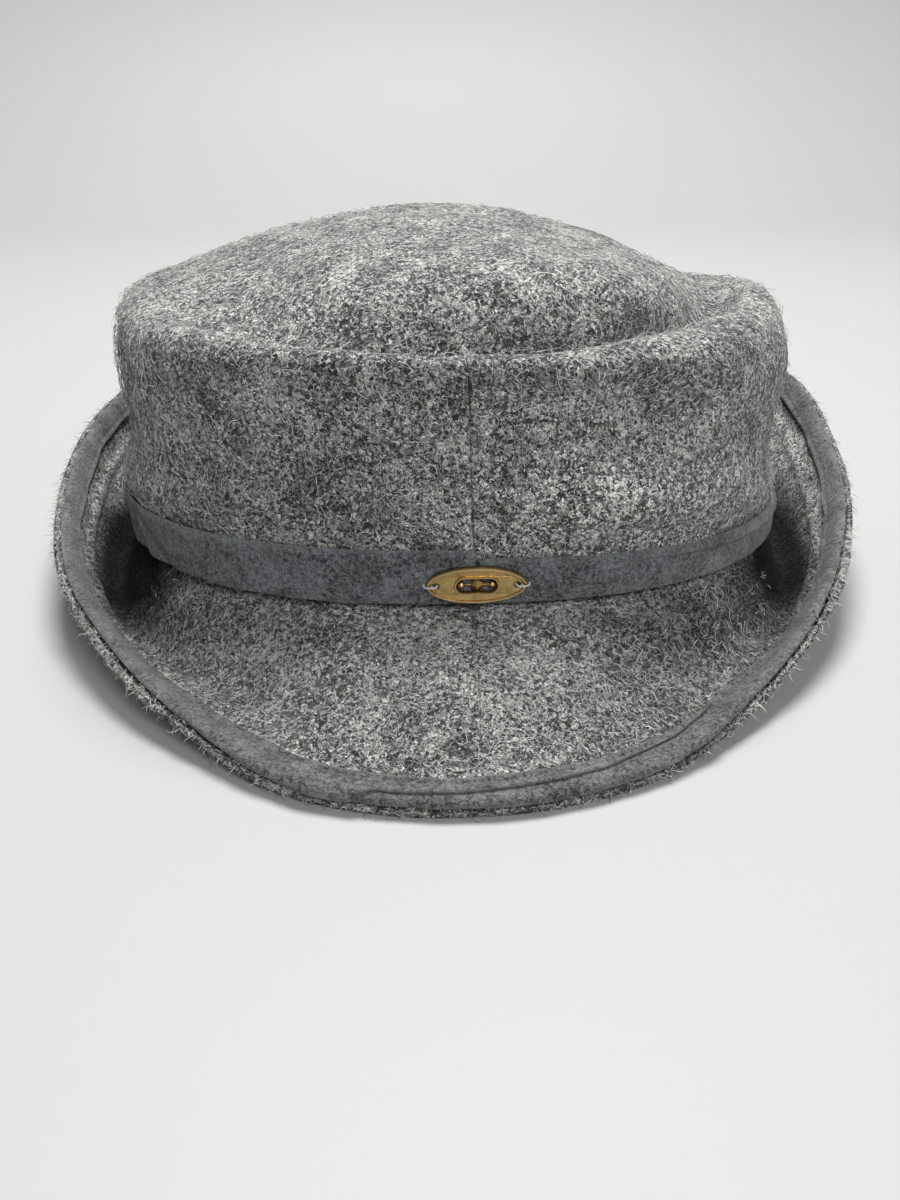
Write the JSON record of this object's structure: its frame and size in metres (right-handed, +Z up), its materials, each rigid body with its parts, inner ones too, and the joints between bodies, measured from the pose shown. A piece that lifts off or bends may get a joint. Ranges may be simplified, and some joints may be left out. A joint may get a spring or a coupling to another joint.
{
  "type": "soft wool gaucho hat",
  "caption": "Soft sewn wool hat with a creased oval crown, a brim turned down in front and up behind, a suede band, a suede edge trim and a plain oval brass badge.",
  "frame": {"origin": "on the surface that the hat lies on, under the middle of its outline", "axes": "+Z up out of the crown, -Y toward the turned-down front brim with the badge, +X toward the wearer's left"},
  "size_m": [0.2304, 0.2634, 0.0976],
  "materials": {
    "wool": "mottled mid-grey milled wool with a raised nap",
    "suede": "dark blue-grey suede",
    "brass": "antique brass, dark in the recesses and worn bright on the raised edges",
    "thread": "light grey sewing thread"
  },
  "bodies": {
    "root": {"crown_side_right": "wool", "crown_side_left": "wool", "crown_tip": "wool", "brim_top_right": "wool", "brim_top_left": "wool", "brim_under": "wool", "brim_trim": "suede", "hat_band": "suede", "badge": "brass", "badge_thread_right": "thread", "badge_thread_left": "thread"}
  },
  "joints": []
}
